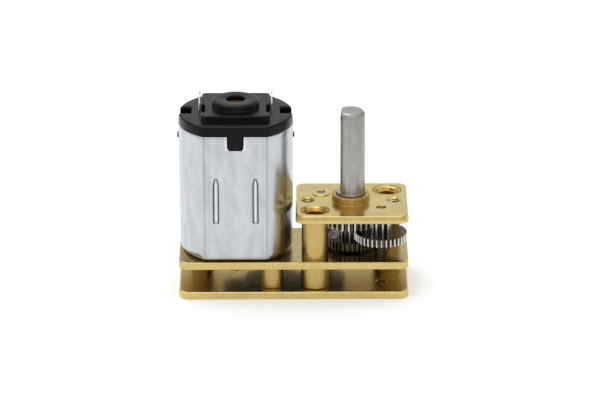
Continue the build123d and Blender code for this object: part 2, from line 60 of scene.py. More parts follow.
# Half sizes, radii and levels of the pieces
PLATE_END = 12.0
PLATE_SIDE = 5.0
PLATE_CORNER = 1.0
TOP_PLATE_START = 0.2
TOP_RIM_LEAN = 0.09
POST_LOWER_R = 1.49
POST_UPPER_R = 1.4
POST_NECK_R = 1.25
POST_BORE_R = 1.0
SHORT_POST_R = 1.19
RIVET_R = 0.7
IDLER_PIN_R = 0.5
TRANSFER_JOURNAL_R = 0.47
TRANSFER_CLEAR_R = 0.8
TRANSFER_BOSS_R = 1.03
FINAL_JOURNAL_R = 0.52
FINAL_FOOT_R = 0.5
SPIGOT_HOLE_R = 0.62
SHAFT_R = 1.5
SHAFT_FLAT = 1.0
SHAFT_FLAT_START = 10.24
BUSH_R = 1.96
BUSH_FOOT_R = 2.06
SCREW_HOLE_R = 0.64
SCREW_REACH = 4.5
CAN_R = 6.0
CAN_FLAT = 5.0
CAN_WALL = 0.45
CAN_NOSE_R = 1.95
CAN_NOSE_BORE_R = 1.5
RIB_X = 2.05
RIB_LOW = 8.42
RIB_HIGH = 13.45
RIB_HALF = 0.285
BOSS_R = 2.475
BLADE_X = 3.75


# ---------------------------------------------------------------- mesh helpers
def softened(points, radius, steps):
    """Rounds the corners of a closed outline."""
    out = []
    count = len(points)
    for i, p in enumerate(points):
        p = Vector(p)
        a = Vector(points[i - 1]) - p
        b = Vector(points[(i + 1) % count]) - p
        reach = min(radius, a.length * 0.45, b.length * 0.45)
        start = p + a.normalized() * reach
        end = p + b.normalized() * reach
        for k in range(steps + 1):
            t = k / steps
            out.append(tuple(start * (1 - t) ** 2 + p * 2 * t * (1 - t) + end * t * t))
    return out


def circle(at, r, count=72):
    angles = [math.tau * k / count for k in range(count)]
    return [(at[0] + r * math.cos(a), at[1] + r * math.sin(a)) for a in angles]


def rounded_box(x0, x1, y0, y1, r, steps=8):
    out = []
    corners = ((x1 - r, y1 - r, 0), (x0 + r, y1 - r, 90), (x0 + r, y0 + r, 180), (x1 - r, y0 + r, 270))
    for cx, cy, turn in corners:
        for k in range(steps + 1):
            a = math.radians(turn + 90 * k / steps)
            out.append((cx + r * math.cos(a), cy + r * math.sin(a)))
    return out


def inset(points, depth):
    """Moves every side of a closed anticlockwise outline inwards."""
    if depth == 0:
        return list(points)
    out = []
    count = len(points)
    for i, p in enumerate(points):
        p = Vector(p)
        a = (p - Vector(points[i - 1])).normalized()
        b = (Vector(points[(i + 1) % count]) - p).normalized()
        na = Vector((-a.y, a.x))
        nb = Vector((-b.y, b.x))
        out.append(tuple(p + (na + nb) * (depth / max(0.3, 1 + na.dot(nb)))))
    return out


def ring(bm, points, z):
    return [bm.verts.new((x * MM, y * MM, z * MM)) for x, y in points]


def wall(bm, low, high):
    for i in range(len(low)):
        j = (i + 1) % len(low)
        bm.faces.new((low[i], low[j], high[j], high[i]))


def loop_edges(bm, verts):
    return [bm.edges.get((verts[i], verts[(i + 1) % len(verts)])) for i in range(len(verts))]


def stack(bm, outline, profile):
    """Walls through the (inset, z) pairs of a profile. Returns the lowest and the highest ring."""
    rings = [ring(bm, inset(outline, d), z) for d, z in profile]
    for low, high in zip(rings, rings[1:]):
        wall(bm, low, high)
    return rings[0], rings[-1]


def prism(bm, outline, profile, holes=()):
    """A closed solid between two levels with holes through it.

    Each hole is an outline with its own (inset, z) pairs.
    """
    low, high = stack(bm, outline, profile)
    lows, highs = [low], [high]
    for hole_outline, hole_profile in holes:
        a, b = stack(bm, hole_outline, hole_profile)
        if abs(hole_profile[0][1] - profile[0][1]) < 1e-6:
            lows.append(a)
        else:
            bm.faces.new(a)
        highs.append(b)
    for group in (lows, highs):
        edges = [e for verts in group for e in loop_edges(bm, verts)]
        bmesh.ops.triangle_fill(bm, use_beauty=True, use_dissolve=False, edges=edges)


def lathe(bm, at, profile, count=96, closed=False):
    """Turns (r, z) pairs round the axis at. A closed profile gives a ring with a bore."""
    rings = []
    for r, z in profile:
        if r < 1e-6:
            rings.append([bm.verts.new((at[0] * MM, at[1] * MM, z * MM))])
        else:
            rings.append(ring(bm, circle(at, r, count), z))
    pairs = list(zip(rings, rings[1:]))
    if closed:
        pairs.append((rings[-1], rings[0]))
    for a, b in pairs:
        if len(a) == 1 or len(b) == 1:
            tip, edge = (a[0], b) if len(a) == 1 else (b[0], a)
            for i in range(len(edge)):
                bm.faces.new((tip, edge[i], edge[(i + 1) % len(edge)]))
        else:
            wall(bm, a, b)


def make(name, build, body, material, replaced=(), sharp=34, weighted=True, flats=None):
    """Runs a builder on an empty mesh and places the piece on its CAD body.

    Level faces may have their own material.
    """
    bm = bmesh.new()
    build(bm)
    bmesh.ops.recalc_face_normals(bm, faces=bm.faces)
    if flats:
        for face in bm.faces:
            face.material_index = 1 if abs(face.normal.z) > 0.99 else 0
    mesh = bpy.data.meshes.new(name)
    bm.to_mesh(mesh)
    bm.free()
    obj = bpy.data.objects.new(name, mesh)
    bpy.context.scene.collection.objects.link(obj)
    mesh.materials.append(material)
    if flats:
        mesh.materials.append(flats)
    mesh.shade_smooth()
    mesh.set_sharp_from_angle(angle=math.radians(sharp))
    if weighted:
        modifier = obj.modifiers.new("normals", "WEIGHTED_NORMAL")
        modifier.keep_sharp = True
    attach(obj, body)
    if replaced:
        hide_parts(*replaced)
    return obj


# ---------------------------------------------------------------- materials
class Tree:
    """A material's node tree, with short calls for the nodes used here."""

    def __init__(self, name):
        self.material = bpy.data.materials.new(name)
        self.material.use_nodes = True
        self.tree = self.material.node_tree
        self.tree.nodes.clear()
        out = self.tree.nodes.new("ShaderNodeOutputMaterial")
        self.shader = self.tree.nodes.new("ShaderNodeBsdfPrincipled")
        self.tree.links.new(self.shader.outputs[0], out.inputs[0])

    def node(self, kind, inputs=(), **settings):
        n = self.tree.nodes.new(kind)
        for key, value in settings.items():
            setattr(n, key, value)
        for key, value in dict(inputs).items():
            self.put(n, key, value)
        return n

    def put(self, n, key, value):
        if isinstance(value, bpy.types.NodeSocket):
            self.tree.links.new(value, n.inputs[key])
        else:
            n.inputs[key].default_value = value

    def set(self, **values):
        for key, value in values.items():
            self.put(self.shader, key.replace("_", " "), value)

    def position(self, scale=(1, 1, 1), shift=(0, 0, 0)):
        """Object coordinates in millimetres, stretched."""
        source = self.node("ShaderNodeTexCoord").outputs["Object"]
        mapped = self.node("ShaderNodeMapping", {0: source})
        mapped.inputs["Scale"].default_value = [1000 * s for s in scale]
        mapped.inputs["Location"].default_value = shift
        return mapped.outputs[0]

    def noise(self, where, scale, detail=4.0, rough=0.55):
        inputs = {"Vector": where, "Scale": scale, "Detail": detail, "Roughness": rough}
        n = self.node("ShaderNodeTexNoise", inputs)
        return n.outputs["Fac"]

    def remap(self, value, a, b, low, high):
        n = self.node("ShaderNodeMapRange", {0: value, 1: a, 2: b, 3: low, 4: high})
        return n.outputs[0]

    def mix(self, fac, a, b, blend="MIX"):
        n = self.node("ShaderNodeMix", data_type="RGBA", blend_type=blend)
        self.put(n, 0, fac)
        self.put(n, 6, a)
        self.put(n, 7, b)
        return n.outputs[2]

    def math(self, operation, a, b=0.0):
        return self.node("ShaderNodeMath", {0: a, 1: b}, operation=operation).outputs[0]

    def bump(self, height, strength, distance):
        inputs = {"Height": height, "Strength": strength, "Distance": distance * MM}
        n = self.node("ShaderNodeBump", inputs)
        return n.outputs[0]

    def attribute(self, name):
        return self.node("ShaderNodeAttribute", attribute_name=name).outputs["Fac"]


def rgb(r, g, b):
    return (r, g, b, 1.0)


def worn_metal(
    name, light, dark, rough, patch, grain, relief, stretch=(1, 1, 1), metallic=1.0, painted_light=False
):
    """Bare metal with uneven tone, fine grain and a slightly uneven surface, and optionally painted
    shade and painted highlight.
    """
    t = Tree(name)
    where = t.position(stretch)
    broad = t.noise(where, patch, 5.0, 0.6)
    fine = t.noise(where, grain, 3.0, 0.6)
    blend = t.math("ADD", t.math("MULTIPLY", broad, 0.65), t.math("MULTIPLY", fine, 0.35))
    tone = t.remap(blend, 0.4, 0.6, 0.0, 1.0)
    colour = t.mix(tone, rgb(*dark), rgb(*light))
    # Optional painted light from a vertex layer: above zero painted shade towards near black, below
    # zero painted highlight towards pale steel.
    if painted_light:
        level = t.attribute("painted_light")
        colour = t.mix(t.remap(level, 0.0, 1.0, 0.0, 1.0), colour, rgb(0.035, 0.035, 0.035))
        colour = t.mix(t.remap(level, -1.0, 0.0, 1.0, 0.0), colour, rgb(0.85, 0.87, 0.9))
    t.set(Base_Color=colour, Metallic=metallic)
    t.set(Roughness=t.remap(fine, 0.3, 0.7, rough * 0.8, rough * 1.2))
    t.set(Normal=t.bump(blend, 0.35, relief))
    return t.material


def gear_metal(name, at, tip_r, light, dark, root_depth, journal_r):
    """Hobbed steel: faces and roots dark from oil and painted shade, and a painted highlight on the
    lands at the tooth tips.
    """
    t = Tree(name)
    where = t.position((1, 1, 1), (-at[0], -at[1], 0))
    parts = t.node("ShaderNodeSeparateXYZ", {0: where}).outputs
    flat = t.node("ShaderNodeCombineXYZ", {0: parts[0], 1: parts[1]}).outputs[0]
    radius = t.node("ShaderNodeVectorMath", {0: flat}, operation="LENGTH").outputs["Value"]
    tip_highlight = t.remap(radius, tip_r - root_depth, tip_r - 0.01, 0.0, 1.0)
    turned = t.math("SINE", t.math("MULTIPLY", radius, 42.0))
    film = t.noise(where, 2.2, 5.0, 0.6)
    fine = t.noise(where, 16.0, 3.0, 0.6)
    oily = rgb(dark[0] * 1.9, dark[1] * 1.7, dark[2] * 1.3)
    face = t.mix(t.remap(film, 0.3, 0.7, 0.0, 1.0), rgb(*dark), oily)
    if journal_r:
        within = t.remap(radius, journal_r, journal_r + 0.02, 1.0, 0.0)
        face = t.mix(within, face, rgb(0.34, 0.34, 0.37))
    # Painted highlight on the tooth-tip lands.
    colour = t.mix(t.math("POWER", tip_highlight, 2.0), face, rgb(*light))
    t.set(Base_Color=colour, Metallic=1.0)
    t.set(Roughness=t.remap(fine, 0.3, 0.7, 0.2, 0.38))
    t.set(Normal=t.bump(t.math("ADD", t.math("MULTIPLY", turned, 0.3), fine), 0.25, 0.01))
    return t.material


def plastic(name, light, dark, rough, specular):
    t = Tree(name)
    where = t.position()
    broad = t.noise(where, 0.7, 4.0, 0.6)
    fine = t.noise(where, 9.0, 4.0, 0.7)
    t.set(Base_Color=t.mix(t.remap(broad, 0.3, 0.7, 0.0, 1.0), rgb(*dark), rgb(*light)))
    t.set(Roughness=t.remap(fine, 0.3, 0.7, rough * 0.85, rough * 1.15))
    t.set(Specular_IOR_Level=specular)
    t.set(Normal=t.bump(fine, 0.2, 0.012))
    return t.material


BRASS = worn_metal(
    "brass_sheet", (0.68, 0.54, 0.215), (0.60, 0.465, 0.17), 0.2, 0.6, 5.0, 0.002,
)
# Darker copies of the sheet brass for the level faces of the middle and bottom plates: painted shade
# between the plates.
BRASS_SHADED = worn_metal(
    "brass_painted_shade", (0.52, 0.405, 0.17), (0.44, 0.335, 0.13), 0.2, 0.5, 4.0, 0.002,
)
BRASS_SHADED_LOWER = worn_metal(
    "brass_painted_shade_lower", (0.45, 0.31, 0.078), (0.42, 0.283, 0.068), 0.31, 0.3, 2.0, 0.0005,
)
# A lighter copy of the sheet brass for the bottom plate's rim: painted light.
BRASS_LIT_LOWER = worn_metal(
    "brass_sheet_lower_painted_light", (0.82, 0.65, 0.26), (0.74, 0.57, 0.21), 0.22, 0.6, 5.0, 0.002,
)
BRASS_TURNED = worn_metal(
    "brass_turned", (0.60, 0.43, 0.158), (0.53, 0.375, 0.128), 0.3, 0.6, 3.0, 0.003, (2, 2, 0.25),
)
# A brighter, more orange copy of the post brass for the bores: painted light.
BORE_BRASS_LIT = worn_metal(
    "bore_brass_painted_light", (0.84, 0.5, 0.13), (0.5, 0.25, 0.05), 0.2, 0.9, 4.0, 0.01, metallic=0.85,
)
BRONZE = worn_metal(
    "bush_bronze", (0.58, 0.385, 0.13), (0.44, 0.275, 0.08), 0.38, 1.2, 8.0, 0.006, (1.5, 1.5, 0.5),
)
# The can's steel carries painted shade and painted highlight from its vertex layer.
CAN_STEEL = worn_metal(
    "can_steel", (0.60, 0.62, 0.652), (0.498, 0.515, 0.542), 0.22, 0.7, 3.4, 0.006,
    (1.2, 1.2, 0.45), painted_light=True,
)
SHAFT_STEEL = worn_metal(
    "shaft_steel", (0.40, 0.39, 0.365), (0.32, 0.31, 0.295), 0.24, 1.0, 9.0, 0.004, (1.4, 1.4, 0.35),
)
PIN_STEEL = worn_metal(
    "pin_steel", (0.20, 0.20, 0.22), (0.17, 0.17, 0.185), 0.3, 0.6, 3.0, 0.001,
)
BRIGHT_STEEL = worn_metal(
    "bright_steel", (0.42, 0.41, 0.42), (0.3, 0.29, 0.3), 0.25, 1.0, 8.0, 0.006,
)
TINNED = worn_metal(
    "tinned_contact", (0.72, 0.72, 0.71), (0.55, 0.55, 0.54), 0.14, 1.2, 8.0, 0.006,
)
FERRITE = worn_metal("ferrite", (0.07, 0.07, 0.075), (0.035, 0.035, 0.04), 0.6, 1.2, 9.0, 0.02)
IRON = worn_metal(
    "laminated_iron", (0.34, 0.33, 0.33), (0.2, 0.19, 0.19), 0.4, 1.0, 4.0, 0.02, (0.3, 0.3, 12),
)
COPPER = worn_metal(
    "copper_wire", (0.78, 0.36, 0.2), (0.5, 0.19, 0.09), 0.3, 1.0, 5.0, 0.03, (1, 1, 8),
)
PLASTIC = plastic(
    "black_plastic", (0.0036, 0.0038, 0.0036), (0.0022, 0.0023, 0.0022), 0.3, 0.15,
)
HUB_PLASTIC = plastic("hub_plastic", (0.03, 0.028, 0.026), (0.02, 0.019, 0.018), 0.5, 0.3)


# ---------------------------------------------------------------- plates
def straight_hole(at, r, z0, z1, edge=0.03):
    outline = circle(at, r, 48)
    return outline, [(-edge, z0), (0, z0 + edge), (0, z1 - edge), (-edge, z1)]


def rim_profile(z0, z1, lean):
    """(inset, z) pairs for the rim of punched sheet: sharp below, leaning in and rolled over above."""
    low, high = 0.05, 0.12
    pairs = []
    for k in range(4):
        a = math.radians(90 * k / 3)
        pairs.append((low - low * math.sin(a), z0 + low - low * math.cos(a)))
    if lean:
        pairs += [(0.0, z0 + 0.32), (lean * 0.2, z0 + 0.4), (lean * 0.75, z0 + 0.6)]
    for k in range(5):
        a = math.radians(90 * k / 4)
        pairs.append((lean + high - high * math.cos(a), z1 - high + high * math.sin(a)))
    return pairs


def plate(bm, x0, x1, z0, holes, lean=0.0):
    outline = rounded_box(x0, x1, -PLATE_SIDE, PLATE_SIDE, PLATE_CORNER, 10)
    prism(bm, outline, rim_profile(z0, z0 + PLATE_T, lean), holes)


def bottom_plate(bm):
    holes = []
    for at in (FRONT_POST, REAR_POST):
        holes.append((circle(at, POST_NECK_R, 64), [(-0.23, 0), (0, 0.24), (0, PLATE_T)]))
    for at in SHORT_POSTS:
        holes.append(straight_hole(at, RIVET_R, 0, PLATE_T))
    for at, r in ((IDLER, IDLER_PIN_R), (TRANSFER, TRANSFER_JOURNAL_R), (FINAL, FINAL_FOOT_R)):
        holes.append(straight_hole(at, r, 0, PLATE_T, 0.04))
    plate(bm, -PLATE_END, PLATE_END, 0, holes)


def middle_plate(bm):
    holes = []
    for at in (FRONT_POST, REAR_POST):
        holes.append(straight_hole(at, POST_UPPER_R, Z_MID, Z_MID_TOP, 0.02))
    for at, r in (
        (SHORT_POSTS[0], RIVET_R), (SHORT_POSTS[1], RIVET_R), (IDLER, IDLER_PIN_R),
        (TRANSFER, TRANSFER_CLEAR_R), (FINAL, FINAL_JOURNAL_R),
    ):
        holes.append(straight_hole(at, r, Z_MID, Z_MID_TOP))
    holes.append(straight_hole(OUTPUT, SPIGOT_HOLE_R, Z_MID, Z_MID_TOP))
    holes.append(straight_hole(MOTOR, CAN_NOSE_R, Z_MID, Z_MID_TOP, 0.02))
    plate(bm, -PLATE_END, PLATE_END, Z_MID, holes)


def thread_profile(depth, pitch, z0, z1):
    """Ridges of a tapped hole, from the far side up to the chamfer at the face."""
    pairs = [(-0.05, z0), (0, z0 + 0.05)]
    z = z0 + 0.05
    while z + pitch < z1 - 0.1:
        pairs += [(0, z + 0.05), (-depth, z + pitch * 0.5), (0, z + pitch - 0.03)]
        z += pitch
    pairs += [(0, z1 - 0.17), (-0.17, z1)]
    return pairs


def top_plate(bm):
    holes = []
    for at in (FRONT_POST, REAR_POST):
        flare = [(0, Z_TOP), (0, Z_FACE - 0.26), (-0.25, Z_FACE - 0.1), (-0.29, Z_FACE)]
        holes.append((circle(at, POST_NECK_R, 64), flare))
    for side in (-1, 1):
        centre = (OUTPUT[0] + side * SCREW_REACH, 0)
        thread = thread_profile(0.07, 0.3, Z_TOP, Z_FACE)
        holes.append((circle(centre, SCREW_HOLE_R, 48), thread))
    seat = [(0.1, Z_TOP), (0.1, Z_FACE - 0.05), (0, Z_FACE - 0.05), (0, Z_FACE)]
    holes.append((circle(OUTPUT, BUSH_FOOT_R, 96), seat))
    journal = [(0, Z_TOP), (0, Z_FACE - 0.04), (-0.04, Z_FACE)]
    holes.append((circle(FINAL, FINAL_JOURNAL_R, 48), journal))
    holes.append((circle(TRANSFER, TRANSFER_BOSS_R, 64), [(0, Z_TOP), (0, Z_FACE)]))
    plate(bm, TOP_PLATE_START, PLATE_END, Z_TOP, holes, TOP_RIM_LEAN)
    top = Z_FACE + 0.12
    boss = [(0.44, Z_TOP), (TRANSFER_BOSS_R, Z_TOP), (TRANSFER_BOSS_R, top - 0.1)]
    boss += [(1.0, top - 0.04), (0.92, top - 0.005), (0.8, top), (0.48, top), (0.44, top - 0.04)]
    lathe(bm, TRANSFER, boss, 64, closed=True)


# ---------------------------------------------------------------- posts, pins and the bush
def long_post(at):
    """The outside of a hollow post, from its lower flare up to the upper one."""

    def build(bm):
        low = [
            (1.4, 0.0), (1.47, 0.02), (POST_NECK_R, 0.24), (POST_NECK_R, PLATE_T),
            (1.36, PLATE_T), (1.44, PLATE_T + 0.03), (POST_LOWER_R, PLATE_T + 0.1),
            (POST_LOWER_R, Z_MID - 0.04), (1.46, Z_MID), (POST_UPPER_R, Z_MID),
            (POST_UPPER_R, Z_TOP - 0.04), (1.36, Z_TOP), (POST_NECK_R, Z_TOP),
            (POST_NECK_R, Z_FACE - 0.26), (1.38, Z_FACE - 0.13),
        ]
        lathe(bm, at, low, 96)

    return build


def post_lip(at):
    """The flared lip that holds the top plate, and the cone inside it."""

    def build(bm):
        line = [
            (1.38, Z_FACE - 0.13), (1.41, Z_FACE - 0.08), (1.42, Z_FACE - 0.03), (1.405, Z_FACE),
            (1.38, Z_FACE + 0.01), (1.35, Z_FACE), (1.32, Z_FACE - 0.05), (1.23, Z_FACE - 0.15),
            (1.2, Z_FACE - 0.17),
        ]
        lathe(bm, at, line, 96)

    return build


def post_bore(at):
    """The reamed inside of a hollow post."""

    def build(bm):
        line = [(1.2, Z_FACE - 0.17), (1.17, Z_FACE - 0.2), (1.06, Z_FACE - 0.46)]
        line += [(POST_BORE_R, Z_FACE - 0.52), (POST_BORE_R, 0.33)]
        line += [(1.04, 0.27), (1.3, 0.07), (1.4, 0.0)]
        lathe(bm, at, line, 96)

    return build


def short_posts(bm):
    for at in SHORT_POSTS:
        line = [
            (0.0, 0.0), (0.62, 0.0), (RIVET_R, 0.04), (RIVET_R, PLATE_T), (1.12, PLATE_T),
            (SHORT_POST_R, PLATE_T + 0.07), (SHORT_POST_R, Z_MID - 0.05), (1.14, Z_MID),
            (RIVET_R, Z_MID), (RIVET_R, Z_MID_TOP - 0.04), (0.62, Z_MID_TOP), (0.0, Z_MID_TOP),
        ]
        lathe(bm, at, line, 80)


def idler_pin(bm):
    line = [(0, 0), (0.45, 0), (IDLER_PIN_R, 0.05), (IDLER_PIN_R, Z_MID_TOP - 0.05)]
    line += [(0.45, Z_MID_TOP), (0, Z_MID_TOP)]
    lathe(bm, IDLER, line, 48)


def bush(bm):
    line = [
        (1.52, Z_TOP), (BUSH_R, Z_TOP), (BUSH_R, Z_FACE - 0.05), (BUSH_FOOT_R, Z_FACE - 0.05),
        (BUSH_FOOT_R, Z_FACE), (2.04, Z_FACE + 0.02), (1.97, Z_FACE + 0.025), (1.955, Z_FACE + 0.04),
        (1.955, 9.9), (1.945, 9.95), (1.92, 9.985), (1.88, 10.0),
        (1.62, 10.0), (1.57, 9.98), (1.53, 9.92), (1.52, 9.86),
    ]
    lathe(bm, OUTPUT, line, 112, closed=True)


# ---------------------------------------------------------------- output shaft
def output_shaft(bm):
    """A turned shaft with a flat milled on its free end."""
    turn = math.radians(174.4)
    across = Vector((math.cos(turn), math.sin(turn)))
    along = Vector((-across.y, across.x))
    line = [(0, 3.35), (0.56, 3.35), (0.6, 3.39), (0.6, 6.72), (1.2, 6.72), (1.2, 8.2)]
    line += [(1.49, 8.2), (1.49, 9.4), (1.3, 9.4), (1.3, 10.0)]
    line += [(SHAFT_R, 10.0), (SHAFT_R, 10.22), (1.495, 10.25)]
    line += [(1.495, 10.3), (1.495, 12.0), (1.495, 15.0), (1.495, 18.86), (1.47, 18.93)]
    line += [(1.26, 19.15), (1.2, 19.2), (1.1, 19.2)]
    count = 144
    rings = []
    for r, z in line:
        verts = []
        for k in range(count if r else 1):
            angle = math.tau * k / count
            a, b = r * math.cos(angle), r * math.sin(angle)
            if z > SHAFT_FLAT_START:
                a = min(a, SHAFT_FLAT)
            spot = Vector(OUTPUT) + across * a + along * b
            verts.append(bm.verts.new((spot.x * MM, spot.y * MM, z * MM)))
        rings.append(verts)
    for low, high in zip(rings, rings[1:]):
        if len(low) == 1:
            for i in range(count):
                bm.faces.new((low[0], high[i], high[(i + 1) % count]))
        else:
            wall(bm, low, high)
    bm.faces.new(rings[-1])


# ---------------------------------------------------------------- motor can
FILLET_AT = (2.9326, 3.8)
NOTCH_X = 0.83
NOTCH_Z = 16.54
CAN_FOOT_R = 0.7
ARC_START = math.atan2(3.8, 2.9326)


def can_columns():
    """Outline stations once round the can, anticlockwise.

    Each one is its kind, its place in one quarter, and the quarter's signs.
    """
    snap = math.asin(0.5 / CAN_R)
    quarter = [("arc", snap * k / 3) for k in range(4)]
    quarter += [("arc", snap + (ARC_START - snap) * k / 16) for k in range(1, 17)]
    quarter += [("corner", ARC_START + (math.pi / 2 - ARC_START) * k / 8) for k in range(1, 9)]
    flat = [2.79, 2.65] + [RIB_X + 0.42 - 0.84 * k / 24 for k in range(25)]
    flat += [1.5, 1.2, 0.98, 0.9, NOTCH_X, 0.45, 0.2]
    quarter += [("flat", x) for x in flat]
    back = quarter[:0:-1]
    columns = [(k, v, 1, 1) for k, v in quarter] + [(k, v, -1, 1) for k, v in reversed(quarter)]
    columns += [(k, v, -1, -1) for k, v in quarter[1:]] + [(k, v, 1, -1) for k, v in back]
    return columns


def can_point(column, depth):
    kind, value, sx, sy = column
    if kind == "flat":
        return (sx * value, sy * (CAN_FLAT - depth))
    if kind == "corner":
        r = 1.2 - depth
        return (sx * (FILLET_AT[0] + r * math.cos(value)), sy * (FILLET_AT[1] + r * math.sin(value)))
    r = CAN_R - depth
    return (sx * r * math.cos(value), sy * r * math.sin(value))


def groove(x, z):
    """Depth of a pressed rib, and its painted light: above zero painted shade, below zero painted
    highlight.
    """
    if not RIB_LOW < z < RIB_HIGH:
        return 0.0, 0.0
    half = RIB_HALF
    tip = (RIB_HIGH - z) / 0.95
    if tip < 1:
        half *= math.sqrt(max(0.0, 1 - (1 - tip) ** 2)) * 0.85 + 0.15 * tip
    tail = min(1.0, (z - RIB_LOW) / 0.25)
    half *= math.sqrt(max(0.0, 1 - (1 - tail) ** 2)) * 0.7 + 0.3
    near = abs(abs(x) - RIB_X)
    foot = min(1.0, (z - RIB_LOW) / 0.1)
    edge = 0.13
    share = min(1.0, max(0.0, (half - near) / edge + 0.35))
    share = share * share * (3 - 2 * share)
    # Painted shade along the rib's edges.
    painted_tone = math.exp(-(((near - half + 0.04) / 0.08) ** 2)) * foot
    painted_highlight = min(1.0, max(0.0, tip * 1.6 - 0.2)) * max(0.0, tail * 1.5 - 0.5)
    # Painted shade at the rib's lower end, and a painted highlight down its centre.
    painted_tone += 0.6 * (1 - tail) * math.exp(-((near / 0.2) ** 2))
    painted_tone -= 0.8 * painted_highlight * math.exp(-((near / 0.07) ** 2))
    return 0.17 * share * foot, painted_tone


def can_levels():
    levels = []
    for k in range(9):
        a = math.radians(90 * k / 8)
        rise = CAN_FOOT_R - CAN_FOOT_R * math.cos(a)
        levels.append((CAN_FOOT_R - CAN_FOOT_R * math.sin(a), Z_MID_TOP + rise))
    rib_foot = [RIB_LOW, 8.47, 8.52, 8.6, 8.8]
    for z in [4.85, 5.2, 6.2, 7.2, 8.0, 8.3] + rib_foot + [9.6, 10.4, 11.2, 12.0, 12.4, 12.5]:
        levels.append((0.0, z))
    levels += [(0.0, 12.5 + 0.1 * k) for k in range(1, 11)]
    rounding = [NOTCH_Z, NOTCH_Z + 0.03, NOTCH_Z + 0.1, NOTCH_Z + 0.25]
    for z in [13.9, 14.6, 15.3, 15.9, 16.3, 16.5] + rounding + [17.2, 17.6, 17.97]:
        levels.append((0.0, z))
    levels.append((0.025, 18.03))
    levels.append((0.07, CAN_TOP))
    return levels


def taper(z):
    """The drawn can narrows a little towards its foot."""
    return 0.1 * max(0.0, (16.0 - z) / 12.0)


def notch_edge(z):
    """Half width of the rim notch: rounded bottom corners and sides that open upwards."""
    if z < NOTCH_Z + 0.02:
        return 0.56
    if z < NOTCH_Z + 0.08:
        return 0.67
    if z < NOTCH_Z + 0.2:
        return 0.76
    return 0.79 + 0.05 * (z - NOTCH_Z)


def bend_shade(column):
    """How much painted shade lies along the creased lines where the flats turn into the round sides.
    """
    kind, value = column[:2]
    if kind == "corner":
        return 0.32 * math.exp(-(((value - ARC_START - 0.39) / 0.1) ** 2))
    if kind == "flat" and value > 2.5:
        return 0.12 if value > 2.7 else 0.0
    return 0.0


def can_shell(bm):
    columns = can_columns()
    levels = can_levels()
    # Vertex layer of painted shade and painted highlight for the can's steel.
    painted_light = bm.verts.layers.float.new("painted_light")
    outer, inner = [], []
    for depth, z in levels:
        row_out, row_in = [], []
        for column in columns:
            extra, painted_tone = groove(column[1], z) if column[0] == "flat" else (0.0, bend_shade(column))
            if column[0] == "flat":
                painted_tone += bend_shade(column)
                if z >= NOTCH_Z:
                    extra += {NOTCH_X: 0.12, 0.9: 0.035, 0.98: 0.008}.get(column[1], 0.0)
                    # Painted highlight along the edges of the rim notch.
                    painted_tone -= {NOTCH_X: 0.7, 0.9: 0.8, 0.98: 0.5}.get(column[1], 0.0)
            place = column
            if column[1] == NOTCH_X and z >= NOTCH_Z:
                place = ("flat", notch_edge(z)) + column[2:]
            x, y = can_point(place, depth + extra + taper(z))
            v = bm.verts.new(((x + MOTOR[0]) * MM, y * MM, z * MM))
            v[painted_light] = painted_tone
            row_out.append(v)
            x, y = can_point(place, depth + extra + taper(z) + CAN_WALL)
            floor_z = max(z, Z_MID_TOP + CAN_WALL)
            row_in.append(bm.verts.new(((x + MOTOR[0]) * MM, y * MM, floor_z * MM)))
        outer.append(row_out)
        inner.append(row_in)

    def open_cell(i, j):
        """True where a rim notch or a side window is cut."""
        zc = (levels[i][1] + levels[i + 1][1]) / 2
        a, b = columns[j], columns[(j + 1) % len(columns)]
        if a[0] == "flat" and b[0] == "flat" and zc > NOTCH_Z:
            return max(a[1], b[1]) <= NOTCH_X
        if a[0] == "arc" and b[0] == "arc" and 16.3 < zc < 16.85:
            return max(a[1], b[1]) <= math.asin(0.5 / CAN_R) + 1e-6
        return False

    count = len(columns)
    for i in range(len(levels) - 1):
        for j in range(count):
            k = (j + 1) % count
            if open_cell(i, j):
                continue
            bm.faces.new((outer[i][j], outer[i][k], outer[i + 1][k], outer[i + 1][j]))
            bm.faces.new((inner[i + 1][j], inner[i + 1][k], inner[i][k], inner[i][j]))
            if i == len(levels) - 2:
                bm.faces.new((outer[i + 1][j], outer[i + 1][k], inner[i + 1][k], inner[i + 1][j]))
    for i in range(len(levels) - 1):
        for j in range(count):
            k = (j + 1) % count
            if not open_cell(i, j):
                continue
            if not open_cell(i - 1, j):
                bm.faces.new((outer[i][j], outer[i][k], inner[i][k], inner[i][j]))
            if i + 1 < len(levels) - 1 and not open_cell(i + 1, j):
                bm.faces.new((outer[i + 1][j], outer[i + 1][k], inner[i + 1][k], inner[i + 1][j]))
            for near, at in ((j - 1, j), (k, k)):
                if not open_cell(i, near % count):
                    bm.faces.new((outer[i][at], outer[i + 1][at], inner[i + 1][at], inner[i][at]))
    bmesh.ops.triangle_fill(bm, use_beauty=True, edges=loop_edges(bm, inner[0]))
    foot = ring(bm, circle(MOTOR, CAN_NOSE_R, 72), Z_MID_TOP)
    for i in range(len(foot)):
        bm.edges.new((foot[i], foot[(i + 1) % len(foot)]))
    bmesh.ops.triangle_fill(bm, use_beauty=True, edges=loop_edges(bm, outer[0]) + loop_edges(bm, foot))
    collar = ring(bm, circle(MOTOR, CAN_NOSE_R, 72), Z_MID)
    wall(bm, collar, foot)
    bore = ring(bm, circle(MOTOR, CAN_NOSE_BORE_R, 72), Z_MID)
    wall(bm, bore, collar)


# ---------------------------------------------------------------- end cap
def can_outline(depth):
    points = []
    for column in can_columns():
        if column[0] == "flat" and column[1] < 2.6:
            continue
        x, y = can_point(column, depth)
        points.append((x + MOTOR[0], y))
    return points


def round_x(y, r=5.95):
    """How far out the cap's round side is at a given y."""
    return math.sqrt(r * r - y * y)


